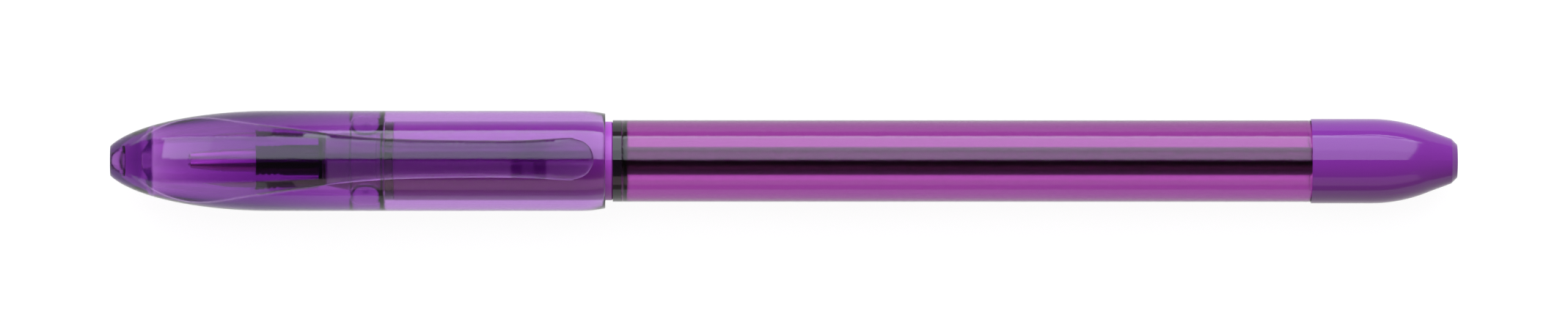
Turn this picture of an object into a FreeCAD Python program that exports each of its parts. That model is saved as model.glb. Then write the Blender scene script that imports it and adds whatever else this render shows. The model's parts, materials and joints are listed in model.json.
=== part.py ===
import FreeCAD, Part
import math
import os
import Sketcher

# Capped ballpoint pen, clip up, lying on its cap and its end plug.
# Each piece is drawn along the pen's own axis: X runs from the cap's flat end
# to the end plug, Z towards the clip. Millimetres.

doc = FreeCAD.newDocument("pen")
sizes = doc.addObject("Spreadsheet::Sheet", "sizes")

# Lengths that differ by less than this are taken as the same
HAIR = 1e-6

# Driving dimensions, each written once
DIMENSIONS = {
    # The pen's own pieces, in a row from the writing ball to the plug
    "ball_inset": 9.15,
    "ball_radius": 0.5,
    "ball_showing": 0.28,
    "ball_gap": 0.02,
    "seat_lip": 0.1,
    "ink_channel": 0.25,
    "point_length": 7.4,
    "point_step_at": 3.5,
    "point_step_radius": 1.12,
    "point_radius": 1.4,
    "point_groove": 0.08,
    "shank_radius": 0.95,
    "shank_length": 2.7,
    "nose_length": 7.1,
    "nose_tip_radius": 2.62,
    "nose_radius": 3.3,
    "nose_curve": 34.0,
    "nose_land": 3.6,
    "nose_bead_height": 0.12,
    "nose_bead_width": 0.9,
    "spigot_length": 6.4,
    "ring_width": 0.98,
    "ring_radius": 4.38,
    "grip_length": 24.4,
    "grip_wall": 0.64,
    "grip_edge": 0.12,
    "neck_wall": 0.78,
    "neck_lead": 0.2,
    "barrel_length": 76.79,
    "barrel_radius": 4.56,
    "barrel_wall": 0.86,
    "tail_length": 6.4,
    "tail_step": 0.42,
    "tail_edge": 0.3,
    # The refill
    "rib_zone": 2.95,
    "rib_radius": 1.95,
    "rib_height": 0.14,
    "rib_pitch": 0.64,
    "rib_width": 0.36,
    "collar_length": 3.95,
    "collar_radius": 2.05,
    "holder_radius": 1.86,
    "holder_sleeve": 3.95,
    "tube_radius": 1.58,
    "tube_bore": 1.06,
    "tube_socket": 7.8,
    "refill_room": 8.12,
    "ink_short": 2.0,
    # The end plug
    "plug_length": 16.3,
    "plug_straight": 6.7,
    "plug_bulge": 0.16,
    "plug_curve": 17.0,
    "plug_cone_length": 2.4,
    "plug_cone_end": 2.5,
    "plug_end_edge": 0.62,
    "plug_ledge": 1.12,
    "plug_floor": 3.2,
    "plug_room": 0.1,
    "vent_radius": 0.5,
    # The cap
    "mouth_gap": 0.83,
    "cap_radius": 5.59,
    "cap_wall": 0.89,
    "cap_end_radius": 1.69,
    "dome_length": 18.0,
    "mouth_round_length": 2.8,
    "mouth_round_drop": 0.3,
    "mouth_round_curve": 13.2,
    "seat_gap": 0.18,
    "step_rise": 0.2,
    "land_bore": 3.95,
    "land_length": 3.35,
    "land_step": 0.2,
    "front_bore": 2.75,
    "front_corner": 1.2,
    "cap_floor": 3.9,
    "recess_radius": 1.15,
    "recess_depth": 2.05,
    "pad_radius": 1.6,
    "pad_gap": 0.06,
    "pad_dome": 0.17,
    "pad_count": 3,
    # The clip: its gap over the cap, its thickness and where it starts and ends
    "clip_gap": 0.95,
    "clip_end": 1.3,
    "clip_tip_radius": 2.2,
    "clip_root_behind_dome": 5.3,
    "clip_root_curve": 1.3,
    "clip_last_section": 0.9,
    "clip_bead_from_end": 7.2,
    "clip_bead_radius": 3.2,
    "clip_bead_gap": 0.3,
    # How small seats are made, measured on the radius
    "seat": 0.02,
}

# Cross sections of the clip's upper side. The heights are measured from the cap's crown
# under them: the ridge, then half width and height of the rib's edge and of the skirt's edge.
# The first sections grow out of the dome, each at its own distance from the flat end.
DOME_SECTIONS = {
    "start": (1.6, -0.07, 1.20, -0.41, 1.62, -0.67),
    "brow": (4.3, 0.38, 2.20, -0.29, 2.95, -1.12),
    "root": (9.6, 0.78, 2.50, 0.16, 4.66, -2.55),
    "saddle": (14.4, 1.20, 2.50, 0.74, 4.22, -1.53),
    "web": (18.0, 1.61, 2.42, 1.25, 3.70, 0.01),
}
# The others are spread evenly along the clip's blade, up to its free end
BLADE_SECTIONS = {
    "leaf": (2.19, 2.18, 1.87, 2.90, 1.36),
    "taper": (2.49, 1.88, 2.18, 2.33, 1.73),
    "shaft": (2.63, 1.68, 2.31, 2.11, 1.89),
    "middle": (2.65, 1.66, 2.33, 2.05, 1.93),
    "heel": (2.55, 1.76, 2.21, 2.18, 1.81),
    "end": (2.21, 1.66, 1.88, 2.06, 1.49),
}
SECTION_WORDS = ("ridge", "rib", "rib_height", "skirt", "skirt_height")

for clip_section, (place, *shape) in DOME_SECTIONS.items():
    DIMENSIONS[f"{clip_section}_at"] = place
    for section_word, value in zip(SECTION_WORDS, shape):
        DIMENSIONS[f"{clip_section}_{section_word}"] = value
for clip_section, shape in BLADE_SECTIONS.items():
    for section_word, value in zip(SECTION_WORDS, shape):
        DIMENSIONS[f"{clip_section}_{section_word}"] = value

for row, (alias, value) in enumerate(DIMENSIONS.items(), start=1):
    sizes.set(f"A{row}", alias)
    sizes.set(f"B{row}", str(value))
    sizes.setAlias(f"B{row}", alias)
doc.recompute()


def size(formula):
    """The value of a formula in the sheet's names."""
    return float(sizes.evalExpression(formula.replace("sizes.", "")))


def named(formula):
    """The formula with each of the sheet's names bound to the sheet."""
    words = []
    for word in formula.replace("(", "( ").replace(")", " )").split():
        words.append(f"sizes.{word}" if word in DIMENSIONS else word)
    return " ".join(words)


# Places along the axis, as formulas of the driving dimensions
POINT_BASE = "ball_inset + point_length"
COLLAR_FRONT = f"{POINT_BASE} + rib_zone"
NOSE_FRONT = f"{COLLAR_FRONT} + collar_length"
NOSE_REAR = f"{NOSE_FRONT} + nose_length"
NECK_FRONT = f"{NOSE_REAR} + ring_width"
GRIP_REAR = f"{NECK_FRONT} + grip_length"
SHOULDER = f"{GRIP_REAR} + ring_width"
SEAM = f"{SHOULDER} + barrel_length"
PEN_END = f"{SEAM} + plug_length"
CAP_LENGTH = f"( {GRIP_REAR} - mouth_gap )"
NECK_RADIUS = "( ring_radius - grip_wall )"
NECK_BORE = f"( {NECK_RADIUS} - neck_wall )"
SPIGOT_RADIUS = f"( {NECK_BORE} - seat )"
BARREL_BORE = "( barrel_radius - barrel_wall )"
HOLDER_REAR = f"{NOSE_FRONT} + holder_sleeve"
TUBE_FRONT = f"{HOLDER_REAR} - tube_socket"
TAIL_RADIUS = "( barrel_radius - tail_step )"
TAIL_END = f"{SEAM} + tail_length"
PLUG_HOLLOW = f"( {BARREL_BORE} - plug_ledge )"
HOLLOW_CONE = f"( {PEN_END} - plug_floor - {PLUG_HOLLOW} )"
TUBE_REAR = f"{HOLLOW_CONE} - refill_room"
CAP_STEP = f"{NOSE_REAR} - seat_gap"
LAND_FRONT = f"{CAP_STEP} - step_rise - land_length"
MOUTH_BORE = "( cap_radius - cap_wall )"
PAD_REACH = "( nose_radius + nose_bead_height + pad_gap )"
# The dome is the end of an ellipse, cut off where it is as wide as the cap's flat end
DOME_REACH = "( dome_length / sqrt( 1 - ( cap_end_radius / cap_radius ) ^ 2 ) )"


def section_place(label):
    """Where a section of the clip stands, from the cap's flat end."""
    if label in DOME_SECTIONS:
        return f"{label}_at"
    step = list(BLADE_SECTIONS).index(label) + 1
    blade = f"( {CAP_LENGTH} - clip_last_section - web_at )"
    return f"web_at + {blade} * {step} / {len(BLADE_SECTIONS)}"


def section_height(label, word):
    """A height of a section of the clip, from the cap's axis."""
    if label not in DOME_SECTIONS:
        return f"cap_radius + {label}_{word}"
    inside = f"max( dome_length - {label}_at ; 0 )"
    crown = f"cap_radius * sqrt( 1 - ( {inside} / {DOME_REACH} ) ^ 2 )"
    return f"{crown} + {label}_{word}"


def new_body(label):
    body = doc.addObject("PartDesign::Body", label)
    body.Label = label
    return body


def origin_part(body, role):
    """One of the body's own origin planes or axes."""
    return next(item for item in body.Origin.OriginFeatures if item.Role == role)


def new_sketch(body, label, role="XZ_Plane", offset=None):
    """A sketch on one of the body's own origin planes."""
    sketch = body.newObject("Sketcher::SketchObject", label)
    sketch.AttachmentSupport = (origin_part(body, role), [""])
    sketch.MapMode = "FlatFace"
    if offset:
        sketch.AttachmentOffset = offset
    return sketch


def bind(sketch, constraint, formula):
    """Adds a measured constraint whose value follows the sheet."""
    index = sketch.addConstraint(Sketcher.Constraint(*constraint, size(formula)))
    sketch.setExpression(f"Constraints[{index}]", named(formula))


def fix_point(sketch, edge, end, along, out):
    """Holds the end of an edge at a distance along and out from the sketch's origin."""
    for kind, formula, axis in (("DistanceX", along, -2), ("DistanceY", out, -1)):
        if formula == "0":
            sketch.addConstraint(Sketcher.Constraint("PointOnObject", edge, end, axis))
        else:
            bind(sketch, (kind, -1, 1, edge, end), formula)


def arc_between(first, last, radius, side):
    """The short arc of that radius from first to last; side 1 has its centre on the left."""
    chord = last - first
    middle = (first + last) / 2
    height = math.sqrt(max(radius**2 - (chord.Length / 2) ** 2, 0))
    left = FreeCAD.Vector(-chord.y, chord.x, 0).normalize()
    centre = middle + left * height * side
    circle = Part.Circle(centre, FreeCAD.Vector(0, 0, 1), radius)
    ends = [first, last] if side > 0 else [last, first]
    start, finish = (math.atan2(p.y - centre.y, p.x - centre.x) for p in ends)
    return Part.ArcOfCircle(circle, start, finish)


def outline(sketch, corners, arcs=None):
    """A closed outline through its corners. arcs gives a radius and a side by the edge's number."""
    arcs = arcs or {}
    points = [FreeCAD.Vector(size(along), size(out), 0) for along, out in corners]
    count = len(points)
    starts = {}
    for number in range(count):
        first = points[number]
        last = points[(number + 1) % count]
        if number in arcs:
            radius, side = arcs[number]
            edge = sketch.addGeometry(arc_between(first, last, size(radius), side))
            along, out = corners[number]
            half_circle = abs((last - first).Length - 2 * size(radius)) < HAIR
            if half_circle and out == "0":
                sketch.addConstraint(Sketcher.Constraint("PointOnObject", edge, 3, -1))
            elif half_circle:
                bind(sketch, ("DistanceX", -1, 1, edge, 3), along)
            else:
                bind(sketch, ("Radius", edge), radius)
            starts[number] = (edge, 1, 2) if side > 0 else (edge, 2, 1)
        else:
            edge = sketch.addGeometry(Part.LineSegment(first, last))
            starts[number] = (edge, 1, 2)
    for number in range(count):
        edge, _, finish = starts[number]
        following, start, _ = starts[(number + 1) % count]
        sketch.addConstraint(
            Sketcher.Constraint("Coincident", edge, finish, following, start)
        )
    for number, (along, out) in enumerate(corners):
        edge, start, _ = starts[number]
        fix_point(sketch, edge, start, along, out)


def turned(body, label, corners, arcs=None, kind="PartDesign::Revolution"):
    """A feature turned once around the pen's axis."""
    sketch = new_sketch(body, f"{label}_outline")
    outline(sketch, corners, arcs)
    feature = body.newObject(kind, label)
    feature.Profile = sketch
    feature.ReferenceAxis = (sketch, ["H_Axis"])
    feature.Angle = 360
    return feature


def bored(body, label, corners, arcs=None):
    return turned(body, label, corners, arcs, "PartDesign::Groove")


# Writing ball: a sphere, drawn as a half disc turned on the axis
def make_ball():
    body = new_body("writing_ball")
    corners = [("ball_inset", "0"), ("ball_inset + 2 * ball_radius", "0")]
    turned(body, "ball", corners, {1: ("ball_radius", 1)})
    return body


# Point: a turned steel cone with a step, a shank for the holder and an ink channel
def make_tip():
    body = new_body("tip")
    lip = "ball_inset + ball_showing"
    step = "ball_inset + point_step_at"
    corners = [
        (lip, "ink_channel"),
        (lip, "ball_radius + seat_lip"),
        (step, "point_step_radius"),
        (step, "point_step_radius - point_groove"),
        (f"{step} + 2 * point_groove", "point_step_radius - point_groove"),
        (f"{step} + 2 * point_groove", "point_step_radius + point_groove"),
        (POINT_BASE, "point_radius"),
        (POINT_BASE, "shank_radius"),
        (f"{POINT_BASE} + shank_length", "shank_radius"),
        (f"{POINT_BASE} + shank_length", "ink_channel"),
    ]
    turned(body, "cone", corners)
    socket = "( ball_radius + ball_gap )"
    centre = "ball_inset + ball_radius"
    bored(
        body,
        "ball_seat",
        [(f"{centre} - {socket}", "0"), (f"{centre} + {socket}", "0")],
        {1: (socket, 1)},
    )
    return body


# Tip holder: ribbed behind the point, then a smooth collar and a sleeve inside the nose
def make_holder():
    body = new_body("tip_holder")
    corners = [
        (POINT_BASE, "shank_radius"),
        (POINT_BASE, "rib_radius"),
        (COLLAR_FRONT, "rib_radius"),
        (COLLAR_FRONT, "collar_radius"),
        (NOSE_FRONT, "collar_radius"),
        (NOSE_FRONT, "holder_radius"),
        (HOLDER_REAR, "holder_radius"),
        (HOLDER_REAR, "tube_radius"),
        (TUBE_FRONT, "tube_radius"),
        (TUBE_FRONT, "shank_radius"),
    ]
    turned(body, "holder", corners)
    groove_start = f"{POINT_BASE} + rib_width"
    groove_end = f"{POINT_BASE} + rib_pitch"
    corners = [
        (groove_start, "rib_radius - rib_height"),
        (groove_start, "rib_radius + rib_height"),
        (groove_end, "rib_radius + rib_height"),
        (groove_end, "rib_radius - rib_height"),
    ]
    rib_gap = bored(body, "rib_gap", corners)
    doc.recompute()
    ribs = body.newObject("PartDesign::LinearPattern", "ribs")
    ribs.Originals = [rib_gap]
    ribs.Direction = (origin_part(body, "X_Axis"), [""])
    gaps = "floor( ( rib_zone - rib_width ) / rib_pitch )"
    ribs.setExpression("Occurrences", named(gaps))
    ribs.setExpression("Length", named(f"( {gaps} - 1 ) * rib_pitch"))
    body.Tip = ribs
    return body


# Refill tube and the ink in it
def make_tube():
    body = new_body("refill_tube")
    corners = [
        (TUBE_FRONT, "tube_bore"),
        (TUBE_FRONT, "tube_radius"),
        (TUBE_REAR, "tube_radius"),
        (TUBE_REAR, "tube_bore"),
    ]
    turned(body, "tube", corners)
    return body


def make_ink():
    body = new_body("ink")
    rear = f"{TUBE_REAR} - ink_short"
    corners = [
        (TUBE_FRONT, "0"),
        (TUBE_FRONT, "tube_bore"),
        (rear, "tube_bore"),
        (rear, "0"),
    ]
    turned(body, "ink_column", corners)
    return body


# Nose: a tapered moulding with a bead for the cap's pads and a spigot for the neck
def make_nose():
    body = new_body("nose")
    taper_end = f"{NOSE_REAR} - nose_land"
    bead_front = f"{NOSE_REAR} - nose_bead_width"
    bead_radius = "nose_radius + nose_bead_height"
    spigot_end = f"{NOSE_REAR} + spigot_length"
    bore = "( holder_radius + seat )"
    corners = [
        (NOSE_FRONT, bore),
        (NOSE_FRONT, "nose_tip_radius"),
        (taper_end, "nose_radius"),
        (bead_front, "nose_radius"),
        (f"{bead_front} + nose_bead_height", bead_radius),
        (NOSE_REAR, bead_radius),
        (NOSE_REAR, SPIGOT_RADIUS),
        (spigot_end, SPIGOT_RADIUS),
        (spigot_end, bore),
    ]
    turned(body, "moulding", corners, {1: ("nose_curve", -1)})
    return body


# Black rings at the two ends of the grip
def make_front_ring():
    body = new_body("grip_front_ring")
    corners = [
        (NOSE_REAR, f"{SPIGOT_RADIUS} + seat"),
        (NOSE_REAR, "ring_radius"),
        (NECK_FRONT, "ring_radius"),
        (NECK_FRONT, f"{SPIGOT_RADIUS} + seat"),
    ]
    turned(body, "front_ring", corners)
    return body


def make_rear_ring():
    body = new_body("grip_rear_ring")
    corners = [
        (GRIP_REAR, f"{NECK_RADIUS} + seat"),
        (GRIP_REAR, "barrel_radius"),
        (SHOULDER, "barrel_radius"),
        (SHOULDER, f"{NECK_RADIUS} + seat"),
    ]
    turned(body, "rear_ring", corners)
    return body


# Grip: a soft sleeve on the neck, its ends a little rounded off
def make_grip():
    body = new_body("grip")
    corners = [
        (NECK_FRONT, f"{NECK_RADIUS} + seat"),
        (NECK_FRONT, "ring_radius - grip_edge"),
        (f"{NECK_FRONT} + grip_edge", "ring_radius"),
        (f"{GRIP_REAR} - grip_edge", "ring_radius"),
        (GRIP_REAR, "ring_radius - grip_edge"),
        (GRIP_REAR, f"{NECK_RADIUS} + seat"),
    ]
    turned(body, "sleeve", corners)
    return body


# Barrel: a thin tube that steps down to the neck, inside and out, and to a tail for the plug
def make_barrel():
    body = new_body("barrel")
    inner_step = f"{SHOULDER} - neck_lead"
    corners = [
        (NECK_FRONT, NECK_BORE),
        (NECK_FRONT, NECK_RADIUS),
        (SHOULDER, NECK_RADIUS),
        (SHOULDER, "barrel_radius"),
        (SEAM, "barrel_radius"),
        (SEAM, TAIL_RADIUS),
        (f"{TAIL_END} - tail_edge", TAIL_RADIUS),
        (TAIL_END, f"{TAIL_RADIUS} - tail_edge"),
        (TAIL_END, BARREL_BORE),
        (f"{inner_step} + {BARREL_BORE} - {NECK_BORE}", BARREL_BORE),
        (inner_step, NECK_BORE),
    ]
    turned(body, "tube_wall", corners)
    return body


# End plug: bulged at the seam, then drawn in to a small end. It is pushed over the
# barrel's tail, and its hollow behind the tail ends in a vent.
def make_plug():
    body = new_body("end_plug")
    bulge = "( barrel_radius + plug_bulge )"
    cone_start = f"{PEN_END} - plug_end_edge - plug_cone_length"
    curve_start = f"{SEAM} + plug_straight"
    # The cone's front radius, where the curve hands over to it
    drop = f"( plug_curve - sqrt( plug_curve ^ 2 - ( {cone_start} - ( {curve_start} ) ) ^ 2 ) )"
    corners = [
        (SEAM, "0"),
        (SEAM, bulge),
        (curve_start, bulge),
        (cone_start, f"{bulge} - {drop}"),
        (f"{PEN_END} - plug_end_edge", "plug_cone_end"),
        (PEN_END, "plug_cone_end - plug_end_edge"),
        (PEN_END, "0"),
    ]
    turned(body, "outside", corners, {2: ("plug_curve", -1)})
    socket = f"( {TAIL_RADIUS} + seat )"
    socket_end = f"{TAIL_END} + plug_room"
    corners = [
        (SEAM, "0"),
        (SEAM, socket),
        (socket_end, socket),
        (socket_end, PLUG_HOLLOW),
        (HOLLOW_CONE, PLUG_HOLLOW),
        (f"{PEN_END} - plug_floor", "vent_radius"),
        (PEN_END, "vent_radius"),
        (PEN_END, "0"),
    ]
    bored(body, "hollow", corners)
    return body


# Cap: dome and wall turned in one, a long clip lofted out of the dome
def clip_section(body, label):
    """One cross section of the clip: a ridged roof with bevelled sides."""
    place = section_place(label)
    offset = FreeCAD.Placement(FreeCAD.Vector(0, 0, size(place)), FreeCAD.Rotation())
    sketch = new_sketch(body, f"{label}_section", "YZ_Plane", offset)
    sketch.setExpression("AttachmentOffset.Base.z", named(place))
    ridge = section_height(label, "ridge")
    rib = f"{label}_rib"
    rib_height = section_height(label, "rib_height")
    skirt = f"{label}_skirt"
    skirt_height = section_height(label, "skirt_height")
    right = [(rib, rib_height), (skirt, skirt_height), (skirt, "0")]
    right = [(size(across), size(height)) for across, height in right]
    left = [(-across, height) for across, height in reversed(right)]
    points = [FreeCAD.Vector(*point, 0) for point in [(0, size(ridge))] + right + left]
    count = len(points)
    for number in range(count):
        line = Part.LineSegment(points[number], points[(number + 1) % count])
        sketch.addGeometry(line)
    for number in range(count):
        following = (number + 1) % count
        sketch.addConstraint(
            Sketcher.Constraint("Coincident", number, 2, following, 1)
        )
    sketch.addConstraint(Sketcher.Constraint("PointOnObject", 0, 1, -2))
    bind(sketch, ("DistanceY", -1, 1, 0, 1), ridge)
    fix_point(sketch, 1, 1, rib, rib_height)
    fix_point(sketch, 2, 1, skirt, skirt_height)
    sketch.addConstraint(Sketcher.Constraint("PointOnObject", 3, 1, -1))
    sketch.addConstraint(Sketcher.Constraint("Vertical", 2))
    for on_right, on_left in ((1, 6), (2, 5), (3, 4)):
        sketch.addConstraint(
            Sketcher.Constraint("Symmetric", on_right, 1, on_left, 1, -2)
        )
    return sketch


def cap_outline(sketch):
    """The cap's outside: a quarter ellipse for the dome, a straight wall, a rounded mouth."""
    centre = FreeCAD.Vector(size("dome_length"), 0, 0)
    ellipse = Part.Ellipse(
        centre + FreeCAD.Vector(size(DOME_REACH), 0, 0),
        centre + FreeCAD.Vector(0, size("cap_radius"), 0),
        centre,
    )
    flat_end = math.pi - math.acos(size("dome_length") / size(DOME_REACH))
    dome = sketch.addGeometry(Part.ArcOfEllipse(ellipse, math.pi / 2, flat_end))
    sketch.exposeInternalGeometry(dome)
    long_axis, short_axis = dome + 1, dome + 2
    sketch.addConstraint(Sketcher.Constraint("PointOnObject", dome, 3, -1))
    bind(sketch, ("DistanceX", -1, 1, dome, 3), "dome_length")
    sketch.addConstraint(Sketcher.Constraint("Horizontal", long_axis))
    bind(sketch, ("Distance", long_axis), f"2 * {DOME_REACH}")
    bind(sketch, ("Distance", short_axis), "2 * cap_radius")
    bind(sketch, ("DistanceX", -1, 1, dome, 1), "dome_length")
    sketch.addConstraint(Sketcher.Constraint("PointOnObject", dome, 2, -2))

    mouth_start = f"{CAP_LENGTH} - mouth_round_length"
    mouth_radius = "cap_radius - mouth_round_drop"
    corners = [
        ("0", "cap_end_radius"),
        ("0", "0"),
        (CAP_LENGTH, "0"),
        (CAP_LENGTH, mouth_radius),
        (mouth_start, "cap_radius"),
        ("dome_length", "cap_radius"),
    ]
    points = [FreeCAD.Vector(size(along), size(out), 0) for along, out in corners]
    flat, axis, mouth, wall = (
        sketch.addGeometry(Part.LineSegment(points[first], points[first + 1]))
        for first in (0, 1, 2, 4)
    )
    rounding = sketch.addGeometry(
        arc_between(points[3], points[4], size("mouth_round_curve"), 1)
    )
    bind(sketch, ("Radius", rounding), "mouth_round_curve")
    chain = [dome, flat, axis, mouth, rounding, wall]
    for number, edge in enumerate(chain):
        following = chain[(number + 1) % len(chain)]
        sketch.addConstraint(Sketcher.Constraint("Coincident", edge, 2, following, 1))
    fix_point(sketch, flat, 2, "0", "0")
    fix_point(sketch, axis, 2, CAP_LENGTH, "0")
    fix_point(sketch, mouth, 2, CAP_LENGTH, mouth_radius)
    fix_point(sketch, rounding, 2, mouth_start, "cap_radius")


def make_cap():
    body = new_body("cap")
    labels = list(DOME_SECTIONS) + list(BLADE_SECTIONS)
    sections = [clip_section(body, label) for label in labels]
    loft = body.newObject("PartDesign::AdditiveLoft", "clip_loft")
    loft.Profile = sections[0]
    loft.Sections = sections[1:]
    doc.recompute()

    # What lies under the clip, from its root to past its end, with the bead left standing
    gap = new_sketch(body, "clip_gap_outline")
    root = "( dome_length + clip_root_behind_dome )"
    underside = "( cap_radius + clip_gap )"
    bead_at = f"( {CAP_LENGTH} - clip_end - clip_bead_from_end )"
    bead_low = "( cap_radius + clip_bead_gap )"
    bead_rise = f"( {underside} - {bead_low} )"
    bead_half = f"sqrt( clip_bead_radius ^ 2 - ( clip_bead_radius - {bead_rise} ) ^ 2 )"
    corners = [
        (root, "0"),
        (root, f"{underside} - clip_root_curve"),
        (f"{root} + clip_root_curve", underside),
        (f"{bead_at} - {bead_half}", underside),
        (f"{bead_at} + {bead_half}", underside),
        (CAP_LENGTH, underside),
        (CAP_LENGTH, "0"),
    ]
    outline(gap, corners, {1: ("clip_root_curve", -1), 3: ("clip_bead_radius", 1)})
    cut = body.newObject("PartDesign::Pocket", "clip_gap_cut")
    cut.Profile = gap
    cut.Type = 1
    cut.Midplane = True
    doc.recompute()

    # The free end, rounded in plan
    end = new_sketch(body, "clip_end_outline", "XY_Plane")
    round_at = f"{CAP_LENGTH} - clip_end - clip_tip_radius"
    beyond = f"{CAP_LENGTH} + clip_tip_radius"
    corners = [
        (round_at, "clip_tip_radius"),
        (round_at, "0 - clip_tip_radius"),
        (round_at, "0 - 3 * clip_tip_radius"),
        (beyond, "0 - 3 * clip_tip_radius"),
        (beyond, "3 * clip_tip_radius"),
        (round_at, "3 * clip_tip_radius"),
    ]
    outline(end, corners, {0: ("clip_tip_radius", -1)})
    trim = body.newObject("PartDesign::Pocket", "clip_end_cut")
    trim.Profile = end
    trim.Type = 1
    trim.Midplane = True
    doc.recompute()

    outside = new_sketch(body, "cap_outline")
    cap_outline(outside)
    wall = body.newObject("PartDesign::Revolution", "cap_wall_turned")
    wall.Profile = outside
    wall.ReferenceAxis = (outside, ["H_Axis"])
    wall.Angle = 360
    doc.recompute()

    corners = [
        ("cap_floor", "0"),
        ("cap_floor", "front_bore - front_corner"),
        ("cap_floor + front_corner", "front_bore"),
        (LAND_FRONT, "land_bore - land_step"),
        (LAND_FRONT, "land_bore"),
        (f"{CAP_STEP} - step_rise", "land_bore"),
        (CAP_STEP, MOUTH_BORE),
        (CAP_LENGTH, MOUTH_BORE),
        (CAP_LENGTH, "0"),
    ]
    bored(body, "cap_bore", corners)
    corners = [
        ("0", "0"),
        ("0", "recess_radius"),
        ("recess_depth", "recess_radius"),
        ("recess_depth", "0"),
    ]
    bored(body, "end_recess", corners)
    doc.recompute()

    # Snap pads: low domes on the land, the first half a step round from the clip
    pad_at = f"{LAND_FRONT} + land_length / 2"
    half_step = FreeCAD.Rotation(FreeCAD.Vector(1, 0, 0), size("180 / pad_count"))
    offset = FreeCAD.Placement(FreeCAD.Vector(size(pad_at), 0, 0), half_step)
    pad_sketch = new_sketch(body, "pad_outline", "XZ_Plane", offset)
    pad_sketch.setExpression("AttachmentOffset.Base.x", named(pad_at))
    pad_base = "( land_bore + cap_radius ) / 2"
    corners = [
        ("0", PAD_REACH),
        ("pad_radius", f"{PAD_REACH} + pad_dome"),
        ("pad_radius", pad_base),
        ("0", pad_base),
    ]
    sphere = "( pad_radius ^ 2 + pad_dome ^ 2 ) / ( 2 * pad_dome )"
    outline(pad_sketch, corners, {0: (sphere, 1)})
    pad = body.newObject("PartDesign::Revolution", "pad")
    pad.Profile = pad_sketch
    pad.ReferenceAxis = (pad_sketch, ["V_Axis"])
    pad.Angle = 360
    doc.recompute()
    pads = body.newObject("PartDesign::PolarPattern", "pads")
    pads.Originals = [pad]
    pads.Axis = (origin_part(body, "X_Axis"), [""])
    pads.Angle = 360
    pads.setExpression("Occurrences", named("pad_count"))
    body.Tip = pads
    return body


def lay_down(pieces):
    """Lays the pen on its cap and its plug, centred over the origin on the ground."""
    reach = size(f"{SEAM} + plug_straight - {CAP_LENGTH} + mouth_round_length")
    drop = size("cap_radius - barrel_radius - plug_bulge")
    lean = FreeCAD.Rotation(FreeCAD.Vector(0, 1, 0), math.degrees(math.atan2(drop, reach)))
    for piece in pieces:
        piece.Placement = FreeCAD.Placement(FreeCAD.Vector(), lean)
    doc.recompute()
    box = Part.makeCompound([piece.Shape for piece in pieces]).optimalBoundingBox(False)
    foot = FreeCAD.Vector(-box.Center.x, -box.Center.y, -box.ZMin)
    for piece in pieces:
        piece.Placement = FreeCAD.Placement(foot, lean)
    doc.recompute()


def check(pieces):
    for item in doc.Objects:
        if "Invalid" in item.State or "Error" in item.State:
            raise RuntimeError(f"{item.Label} could not be built")
    for piece in pieces:
        shape = piece.Shape
        if shape.isNull() or not shape.isValid() or len(shape.Solids) != 1:
            raise RuntimeError(f"{piece.Label} is not one valid solid")


pieces = [
    make_ball(),
    make_tip(),
    make_holder(),
    make_tube(),
    make_ink(),
    make_nose(),
    make_front_ring(),
    make_rear_ring(),
    make_grip(),
    make_barrel(),
    make_plug(),
    make_cap(),
]
doc.recompute()
check(pieces)
lay_down(pieces)
check(pieces)

os.makedirs("parts", exist_ok=True)
for piece in pieces:
    piece.Shape.exportStep(f"parts/{piece.Label}.step")
print("lean and foot:", pieces[0].Placement)
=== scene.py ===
import json
import math

import bpy
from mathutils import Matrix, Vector


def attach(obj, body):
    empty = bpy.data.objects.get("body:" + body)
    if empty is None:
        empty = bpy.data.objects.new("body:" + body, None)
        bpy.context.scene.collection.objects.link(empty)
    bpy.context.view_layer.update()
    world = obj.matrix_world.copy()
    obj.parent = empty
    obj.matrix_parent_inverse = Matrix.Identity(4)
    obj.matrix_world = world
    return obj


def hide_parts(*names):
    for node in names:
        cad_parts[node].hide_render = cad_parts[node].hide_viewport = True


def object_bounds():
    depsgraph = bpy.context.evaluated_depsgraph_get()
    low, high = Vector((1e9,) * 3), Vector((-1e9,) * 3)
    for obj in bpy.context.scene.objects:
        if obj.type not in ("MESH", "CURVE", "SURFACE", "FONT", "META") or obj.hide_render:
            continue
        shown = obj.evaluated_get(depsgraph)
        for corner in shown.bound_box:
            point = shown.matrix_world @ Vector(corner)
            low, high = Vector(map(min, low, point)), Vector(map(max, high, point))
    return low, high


# Capped ballpoint pen in clear violet plastic, on a white table under soft light

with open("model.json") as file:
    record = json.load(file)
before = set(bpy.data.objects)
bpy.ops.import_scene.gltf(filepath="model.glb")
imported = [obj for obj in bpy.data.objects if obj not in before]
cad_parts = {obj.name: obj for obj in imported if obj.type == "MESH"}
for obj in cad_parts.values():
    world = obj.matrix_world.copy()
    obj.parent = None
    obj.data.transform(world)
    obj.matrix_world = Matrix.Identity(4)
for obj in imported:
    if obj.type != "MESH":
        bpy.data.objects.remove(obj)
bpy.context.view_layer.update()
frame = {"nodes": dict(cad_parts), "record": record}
nodes = frame["nodes"]

MM = 0.001

# The pen's own axis runs from the cap's flat end to the end plug, a little downhill
barrel_mount = next(m for m in frame["record"]["mounts"] if m["name"] == "barrel")
BARREL_MIDDLE = Vector(barrel_mount["pos_m"])
BARREL_MIDDLE_AT = 94.815 * MM
PEN_AXIS = Vector(barrel_mount["axis"])
PEN_LEAN = math.atan2(-PEN_AXIS.z, PEN_AXIS.x)
CAP_END = BARREL_MIDDLE - BARREL_MIDDLE_AT * PEN_AXIS

# The ink wets its tube, so it is a hair wider than the tube's bore
INK_RADIUS = 1.075 * MM
INK_FRONT = 19.62 * MM
INK_REAR = 134.1 * MM
INK_HOLLOW = 0.45 * MM
INK_HOLLOW_STEPS = (0.3, 0.5)
INK_SIDES = 64

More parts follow.
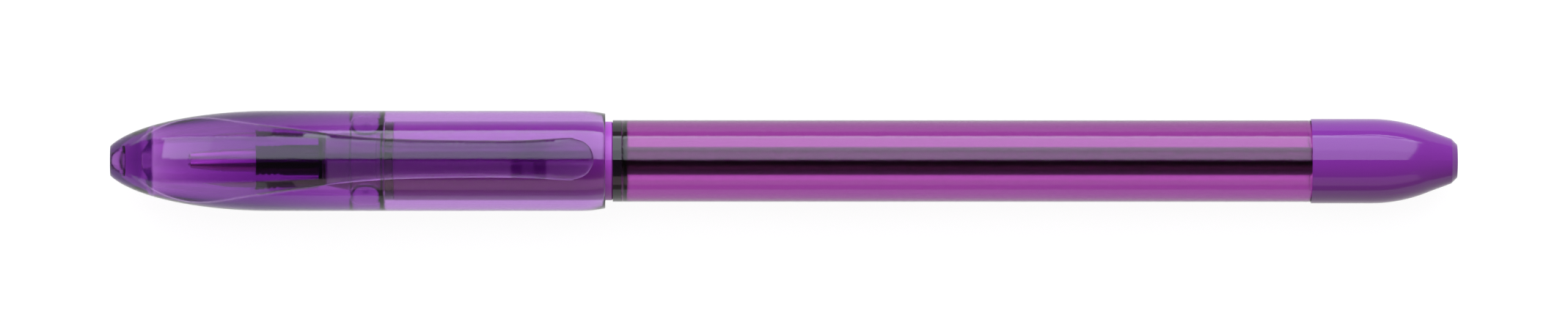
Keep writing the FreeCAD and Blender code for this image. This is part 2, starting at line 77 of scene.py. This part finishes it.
# New pieces are shaded smooth across edges flatter than this
SMOOTH_BELOW = math.radians(30)

# How far moulded edges seem rounded
EDGE_RADIUS = 0.6 * MM
EDGE_SAMPLES = 8

# Scales of the noise for the rubber's grain, about 0.2 mm, and of the waves for the turning
# marks, about 0.1 mm apart, and how high both stand
RUBBER_GRAINS = 5000.0
RUBBER_GRAIN_DEPTH = 0.008 * MM
LATHE_MARKS = 3000.0
LATHE_MARK_DEPTH = 0.003 * MM
LATHE_MARK_WANDER = 0.6
RELIEF_STRENGTH = 0.5

# Wear: the noise's scale, stretch and detail for each kind, which of its values count as a
# scratch or a smudge, and how deep scratches are
NOISE_ALONG = (900.0, (0.08, 1.0, 1.0), 2.0)
NOISE_ACROSS = (700.0, (1.0, 0.12, 0.12), 2.0)
NOISE_SMUDGE = (120.0, (1.0, 1.0, 1.0), 3.0)
SCRATCH_ALONG = (0.66, 0.74)
SCRATCH_ACROSS = (0.7, 0.78)
SMUDGED = (0.45, 0.75)
WEAR_STRENGTH = 0.3
CLEAR_SCRATCH_DEPTH = 0.001 * MM
SOLID_SCRATCH_DEPTH = 0.02 * MM

# Plastics: clear ones by what a millimetre takes of red, green and blue, the rest by colour
PLASTIC_IOR = 1.52
CAP_TAKES = (0.29, 0.7, 0.22)
BARREL_TAKES = (0.5, 1.6, 0.56)
REFILL_TAKES = (0.02, 0.02, 0.02)
NOSE_VIOLET = (0.36, 0.045, 0.44)
GRIP_VIOLET = (0.4, 0.05, 0.5)
PLUG_VIOLET = (0.2, 0.026, 0.29)
PLUG_SHINE = 0.4
RING_BLACK = (0.006, 0.003, 0.007)
HOLDER_BLACK = (0.012, 0.008, 0.014)
INK_BLACK = (0.004, 0.003, 0.005)
POINT_STEEL = (0.8, 0.76, 0.74)
BALL_STEEL = (0.7, 0.7, 0.7)

# Camera
CAMERA_ELEVATION = 88.4
CAMERA_DISTANCE = 1.5
FRAME_WIDTH = 174.7 * MM
SENSOR = 36.0
FARTHEST_SEEN = 100

# Light: a long softbox behind the pen, a weak one in front, a dim warm room
SOFTBOX_TINT = (0.85, 0.88, 1.0)
# Its radiance rises towards its far edge: extra radiance and the angles it spans from the zenith
SOFTBOX_STEPS = ((2.7, 5.0, 72.0), (0.7, 28.0, 72.0), (1.8, 65.0, 72.5))
FILL_TINT = (1.0, 0.72, 0.85)
FILL_RADIANCE = 0.8
FILL_FROM_ZENITH = (46.0, 72.0)
LIGHT_DISTANCE = 0.55
LIGHT_LENGTH = 0.9
ROOM_TINT = (1.0, 0.85, 0.85)
ROOM_ZENITH = 0.03
ROOM_HORIZON = 0.4
THROUGH_HORIZON = 0.7
TABLE_SEEN = 0.94
TABLE_THROUGH = 0.6
TABLE_MIRRORED = 0.9
TABLE_BOUNCE_TINT = (0.85, 0.97, 1.0)
TABLE_ALBEDO = 0.12
TABLE_ROUGHNESS = 0.9
TABLE_SIZE = 12.0

# Light crosses many walls of clear plastic on its way through the pen
LIGHT_BOUNCES = 24


def make_camera():
    """A long lens looking almost straight down on the middle of the pen."""
    low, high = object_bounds()
    target = Vector(((low.x + high.x) / 2, 0, BARREL_MIDDLE.z))
    lift = math.radians(CAMERA_ELEVATION)
    data = bpy.data.cameras.new("camera")
    data.sensor_width = SENSOR
    data.lens = SENSOR * CAMERA_DISTANCE / FRAME_WIDTH
    data.clip_end = FARTHEST_SEEN
    camera = bpy.data.objects.new("camera", data)
    camera.location = target + CAMERA_DISTANCE * Vector((0, -math.cos(lift), math.sin(lift)))
    camera.rotation_euler = (math.radians(90 - CAMERA_ELEVATION), 0, 0)
    bpy.context.collection.objects.link(camera)
    bpy.context.scene.camera = camera


def make_softbox(name, side, angles, tint, radiance):
    """A long area light over the pen that spans these angles from the zenith."""
    near, far = (math.radians(angle) for angle in angles)
    middle, half = (near + far) / 2, (far - near) / 2
    height = 2 * LIGHT_DISTANCE * math.tan(half)
    data = bpy.data.lights.new(name, "AREA")
    data.shape = "RECTANGLE"
    data.size = LIGHT_LENGTH
    data.size_y = height
    data.color = tint
    data.energy = radiance * math.pi * LIGHT_LENGTH * height
    light = bpy.data.objects.new(name, data)
    light.location = LIGHT_DISTANCE * Vector((0, side * math.sin(middle), math.cos(middle)))
    light.rotation_euler = (-side * middle, 0, 0)
    light.visible_camera = False
    bpy.context.collection.objects.link(light)


def make_room():
    """White to the camera, dim and warm for the rest, with a brighter horizon through plastic."""
    world = bpy.data.worlds.new("room")
    bpy.context.scene.world = world
    world.use_nodes = True
    tree = world.node_tree
    tree.nodes.clear()
    link = tree.links.new
    out = tree.nodes.new("ShaderNodeOutputWorld")
    seen = tree.nodes.new("ShaderNodeBackground")
    lit = tree.nodes.new("ShaderNodeBackground")
    mix = tree.nodes.new("ShaderNodeMixShader")
    rays = tree.nodes.new("ShaderNodeLightPath")
    lit.inputs["Color"].default_value = (*ROOM_TINT, 1)
    direction = tree.nodes.new("ShaderNodeTexCoord")
    split = tree.nodes.new("ShaderNodeSeparateXYZ")
    fade = tree.nodes.new("ShaderNodeMapRange")
    fade.inputs["To Max"].default_value = ROOM_ZENITH
    horizon = tree.nodes.new("ShaderNodeMapRange")
    horizon.inputs["To Min"].default_value = ROOM_HORIZON
    horizon.inputs["To Max"].default_value = THROUGH_HORIZON
    link(direction.outputs["Generated"], split.inputs["Vector"])
    link(split.outputs["Z"], fade.inputs["Value"])
    link(fade.outputs["Result"], lit.inputs["Strength"])
    link(rays.outputs["Is Transmission Ray"], horizon.inputs["Value"])
    link(horizon.outputs["Result"], fade.inputs["To Min"])
    link(rays.outputs["Is Camera Ray"], mix.inputs["Fac"])
    link(lit.outputs["Background"], mix.inputs[1])
    link(seen.outputs["Background"], mix.inputs[2])
    seen.inputs["Color"].default_value = (1, 1, 1, 1)
    link(mix.outputs["Shader"], out.inputs["Surface"])


def make_table():
    """Nearly white to the camera, duller through plastic, and it keeps the pen's shadow."""
    bpy.ops.object.select_all(action="DESELECT")
    bpy.ops.mesh.primitive_plane_add(size=TABLE_SIZE)
    table = bpy.context.object
    table.name = "table"
    material = bpy.data.materials.new("white_table")
    material.use_nodes = True
    tree = material.node_tree
    link = tree.links.new
    shader = tree.nodes["Principled BSDF"]
    shader.inputs["Base Color"].default_value = (TABLE_ALBEDO,) * 3 + (1,)
    shader.inputs["Roughness"].default_value = TABLE_ROUGHNESS
    shader.inputs["Specular IOR Level"].default_value = 0.0
    rays = tree.nodes.new("ShaderNodeLightPath")
    glow = None
    for ray, strength in (
        ("Is Camera Ray", TABLE_SEEN),
        ("Is Transmission Ray", TABLE_THROUGH),
        ("Is Glossy Ray", TABLE_MIRRORED),
    ):
        share = tree.nodes.new("ShaderNodeMath")
        share.operation = "MULTIPLY"
        share.inputs[1].default_value = strength
        link(rays.outputs[ray], share.inputs[0])
        if glow:
            most = tree.nodes.new("ShaderNodeMath")
            most.operation = "MAXIMUM"
            link(glow.outputs["Value"], most.inputs[0])
            link(share.outputs["Value"], most.inputs[1])
            share = most
        glow = share
    link(glow.outputs["Value"], shader.inputs["Emission Strength"])
    tint = tree.nodes.new("ShaderNodeMix")
    tint.data_type = "RGBA"
    seen, bounce = (tint.inputs[index] for index in (6, 7))
    seen.default_value = (1, 1, 1, 1)
    bounce.default_value = (*TABLE_BOUNCE_TINT, 1)
    link(rays.outputs["Is Transmission Ray"], tint.inputs["Factor"])
    link(tint.outputs[2], shader.inputs["Emission Color"])
    table.data.materials.append(material)


def new_group(name, inputs, outputs):
    """A node group with plain float inputs, given as name and default."""
    group = bpy.data.node_groups.new(name, "ShaderNodeTree")
    for label, value in inputs:
        socket = group.interface.new_socket(label, in_out="INPUT", socket_type="NodeSocketFloat")
        socket.default_value = value
    for label in outputs:
        group.interface.new_socket(label, in_out="OUTPUT", socket_type="NodeSocketFloat")
    start = group.nodes.new("NodeGroupInput")
    end = group.nodes.new("NodeGroupOutput")
    return group, start, end


def make_handling_wear():
    """Fine scratches along and across the pen and faint smudges, as roughness and height."""
    group, start, end = new_group(
        "handling_wear",
        [("Polish", 0.03), ("Scratches", 0.15), ("Smudges", 0.05)],
        ["Roughness", "Height"],
    )
    link = group.links.new
    place = group.nodes.new("ShaderNodeTexCoord")

    def noise(scale, stretch, detail):
        mapping = group.nodes.new("ShaderNodeMapping")
        mapping.inputs["Scale"].default_value = stretch
        texture = group.nodes.new("ShaderNodeTexNoise")
        texture.inputs["Scale"].default_value = scale
        texture.inputs["Detail"].default_value = detail
        link(place.outputs["Object"], mapping.inputs["Vector"])
        link(mapping.outputs["Vector"], texture.inputs["Vector"])
        return texture

    def remap(source, low, high):
        fade = group.nodes.new("ShaderNodeMapRange")
        fade.inputs["From Min"].default_value = low
        fade.inputs["From Max"].default_value = high
        link(source, fade.inputs["Value"])
        return fade.outputs["Result"]

    def maths(operation, first, second):
        node = group.nodes.new("ShaderNodeMath")
        node.operation = operation
        for socket, value in zip(node.inputs, (first, second)):
            if isinstance(value, float):
                socket.default_value = value
            else:
                link(value, socket)
        return node.outputs["Value"]

    along = noise(*NOISE_ALONG)
    across = noise(*NOISE_ACROSS)
    smudge = noise(*NOISE_SMUDGE)
    scratch = maths(
        "MAXIMUM",
        remap(along.outputs["Fac"], *SCRATCH_ALONG),
        remap(across.outputs["Fac"], *SCRATCH_ACROSS),
    )
    smudged = remap(smudge.outputs["Fac"], *SMUDGED)
    roughness = maths(
        "ADD",
        start.outputs["Polish"],
        maths(
            "ADD",
            maths("MULTIPLY", scratch, start.outputs["Scratches"]),
            maths("MULTIPLY", smudged, start.outputs["Smudges"]),
        ),
    )
    link(roughness, end.inputs["Roughness"])
    link(maths("MULTIPLY", scratch, -1.0), end.inputs["Height"])
    return group


def new_material(name):
    material = bpy.data.materials.new(name)
    material.use_nodes = True
    return material, material.node_tree, material.node_tree.nodes["Principled BSDF"]


def add_wear(tree, shader, wear, polish, scratches, smudges, depth):
    """Wires the handling wear into a material's roughness and bump."""
    worn = tree.nodes.new("ShaderNodeGroup")
    worn.node_tree = wear
    worn.inputs["Polish"].default_value = polish
    worn.inputs["Scratches"].default_value = scratches
    worn.inputs["Smudges"].default_value = smudges
    bump = tree.nodes.new("ShaderNodeBump")
    bump.inputs["Strength"].default_value = WEAR_STRENGTH
    bump.inputs["Distance"].default_value = depth
    tree.links.new(worn.outputs["Roughness"], shader.inputs["Roughness"])
    tree.links.new(worn.outputs["Height"], bump.inputs["Height"])
    tree.links.new(bump.outputs["Normal"], shader.inputs["Normal"])


def soften_edges(tree, radius):
    """Moulded edges catch the light as if they were rounded."""
    edge = tree.nodes.new("ShaderNodeBevel")
    edge.samples = EDGE_SAMPLES
    edge.inputs["Radius"].default_value = radius
    bump = next(node for node in tree.nodes if node.type == "BUMP")
    tree.links.new(edge.outputs["Normal"], bump.inputs["Normal"])


def clear_plastic(name, wear, per_mm, polish=0.02):
    """Clear plastic that takes this much of red, green and blue away in each millimetre."""
    material, tree, shader = new_material(name)
    shader.inputs["Base Color"].default_value = (1, 1, 1, 1)
    shader.inputs["Transmission Weight"].default_value = 1.0
    shader.inputs["IOR"].default_value = PLASTIC_IOR
    add_wear(tree, shader, wear, polish, 0.02, 0.01, CLEAR_SCRATCH_DEPTH)
    most = max(per_mm)
    tint = tree.nodes.new("ShaderNodeVolumeAbsorption")
    tint.inputs["Color"].default_value = (*(1 - value / most for value in per_mm), 1)
    tint.inputs["Density"].default_value = most / MM
    tree.links.new(tint.outputs["Volume"], tree.nodes["Material Output"].inputs["Volume"])
    soften_edges(tree, EDGE_RADIUS)
    return material


def solid_plastic(name, wear, colour, polish, shine=0.5):
    """Opaque moulded plastic; a shine of 0.5 is a fresh surface."""
    material, tree, shader = new_material(name)
    shader.inputs["Base Color"].default_value = (*colour, 1)
    shader.inputs["IOR"].default_value = PLASTIC_IOR
    shader.inputs["Specular IOR Level"].default_value = shine
    add_wear(tree, shader, wear, polish, 0.12, 0.05, SOLID_SCRATCH_DEPTH)
    return material


def add_relief(tree, texture, output, depth):
    """Raises a fine pattern on a surface, under its wear."""
    relief = tree.nodes.new("ShaderNodeBump")
    relief.inputs["Strength"].default_value = RELIEF_STRENGTH
    relief.inputs["Distance"].default_value = depth
    wear_bump = next(node for node in tree.nodes if node.type == "BUMP" and node != relief)
    tree.links.new(texture.outputs[output], relief.inputs["Height"])
    tree.links.new(relief.outputs["Normal"], wear_bump.inputs["Normal"])


def soft_rubber(name, wear, colour):
    """Smooth rubber with the fine grain of a spark-eroded mould."""
    material = solid_plastic(name, wear, colour, 0.35)
    tree = material.node_tree
    place = tree.nodes.new("ShaderNodeTexCoord")
    grain = tree.nodes.new("ShaderNodeTexNoise")
    grain.inputs["Scale"].default_value = RUBBER_GRAINS
    grain.inputs["Detail"].default_value = 2.0
    tree.links.new(place.outputs["Object"], grain.inputs["Vector"])
    add_relief(tree, grain, "Fac", RUBBER_GRAIN_DEPTH)
    return material


def turned_metal(name, wear, colour, polish):
    """Bare metal of this colour and roughness."""
    material, tree, shader = new_material(name)
    shader.inputs["Base Color"].default_value = (*colour, 1)
    shader.inputs["Metallic"].default_value = 1.0
    add_wear(tree, shader, wear, polish, 0.1, 0.03, SOLID_SCRATCH_DEPTH)
    return material


def lathe_marks(material):
    """Fine rings round the pen's axis, left by the turning tool."""
    tree = material.node_tree
    place = tree.nodes.new("ShaderNodeTexCoord")
    turn = tree.nodes.new("ShaderNodeMapping")
    turn.inputs["Rotation"].default_value = (0, -PEN_LEAN, 0)
    rings = tree.nodes.new("ShaderNodeTexWave")
    rings.bands_direction = "X"
    rings.inputs["Scale"].default_value = LATHE_MARKS
    rings.inputs["Distortion"].default_value = LATHE_MARK_WANDER
    tree.links.new(place.outputs["Object"], turn.inputs["Vector"])
    tree.links.new(turn.outputs["Vector"], rings.inputs["Vector"])
    add_relief(tree, rings, "Fac", LATHE_MARK_DEPTH)
    return material


def pick_faces(mesh, wanted):
    """In edit mode, selects only the faces that pass the test."""
    bpy.ops.mesh.select_all(action="DESELECT")
    bpy.ops.object.mode_set(mode="OBJECT")
    for face in mesh.polygons:
        face.select = wanted(face)
    bpy.ops.object.mode_set(mode="EDIT")


def lay_on_pen(piece):
    """Moves a piece drawn along X from the cap's flat end onto the pen, into its mesh."""
    piece.rotation_euler = (0, PEN_LEAN, 0)
    piece.location = CAP_END
    bpy.ops.object.select_all(action="DESELECT")
    piece.select_set(True)
    bpy.context.view_layer.objects.active = piece
    bpy.ops.object.transform_apply(location=True, rotation=True, scale=True)
    bpy.ops.object.shade_smooth_by_angle(angle=SMOOTH_BELOW)


def make_ink():
    """The ink column, hollowed at its rear end where it drags along the wall."""
    bpy.ops.object.select_all(action="DESELECT")
    bpy.ops.mesh.primitive_cylinder_add(
        vertices=INK_SIDES,
        radius=INK_RADIUS,
        depth=INK_REAR - INK_FRONT,
        location=((INK_FRONT + INK_REAR) / 2, 0, 0),
        rotation=(0, math.pi / 2, 0),
    )
    ink = bpy.context.object
    ink.name = "ink_column"
    bpy.ops.object.transform_apply(location=True, rotation=True, scale=True)
    bpy.ops.object.mode_set(mode="EDIT")
    bpy.ops.mesh.select_mode(type="FACE")
    pick_faces(ink.data, lambda face: face.normal.x > 0.9)
    for share in INK_HOLLOW_STEPS:
        bpy.ops.mesh.inset(thickness=share * INK_RADIUS / 2, depth=0)
        bpy.ops.transform.translate(value=(-INK_HOLLOW * share, 0, 0))
    bpy.ops.object.mode_set(mode="OBJECT")
    lay_on_pen(ink)
    return ink


def dress(node, material):
    """Gives a CAD node its finished material."""
    mesh = nodes[node].data
    mesh.materials.clear()
    mesh.materials.append(material)


def dress_pen():
    """Finishes every piece of the pen; the ink gets a column of its own."""
    wear = make_handling_wear()
    dress("cap", clear_plastic("cap_plastic", wear, CAP_TAKES))
    dress("barrel", clear_plastic("barrel_plastic", wear, BARREL_TAKES))
    dress("nose", solid_plastic("nose_plastic", wear, NOSE_VIOLET, 0.1))
    dress("refill_tube", clear_plastic("refill_plastic", wear, REFILL_TAKES))
    dress("end_plug", solid_plastic("plug_plastic", wear, PLUG_VIOLET, 0.08, PLUG_SHINE))
    dress("grip", soft_rubber("grip_rubber", wear, GRIP_VIOLET))
    ring = solid_plastic("ring_plastic", wear, RING_BLACK, 0.08)
    dress("grip_front_ring", ring)
    dress("grip_rear_ring", ring)
    dress("tip_holder", solid_plastic("holder_plastic", wear, HOLDER_BLACK, 0.2))
    ink = make_ink()
    ink.data.materials.append(solid_plastic("ink_paste", wear, INK_BLACK, 0.3))
    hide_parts("ink")
    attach(ink, "pen")
    dress("tip", lathe_marks(turned_metal("point_steel", wear, POINT_STEEL, 0.42)))
    dress("writing_ball", turned_metal("ball_steel", wear, BALL_STEEL, 0.08))


make_camera()
for step, (radiance, near, far) in enumerate(SOFTBOX_STEPS):
    make_softbox(f"softbox_{step}", 1, (near, far), SOFTBOX_TINT, radiance)
make_softbox("fill", -1, FILL_FROM_ZENITH, FILL_TINT, FILL_RADIANCE)
make_room()
make_table()
dress_pen()

scene = bpy.context.scene
scene.view_settings.view_transform = "Standard"
scene.cycles.max_bounces = LIGHT_BOUNCES
scene.cycles.transmission_bounces = LIGHT_BOUNCES
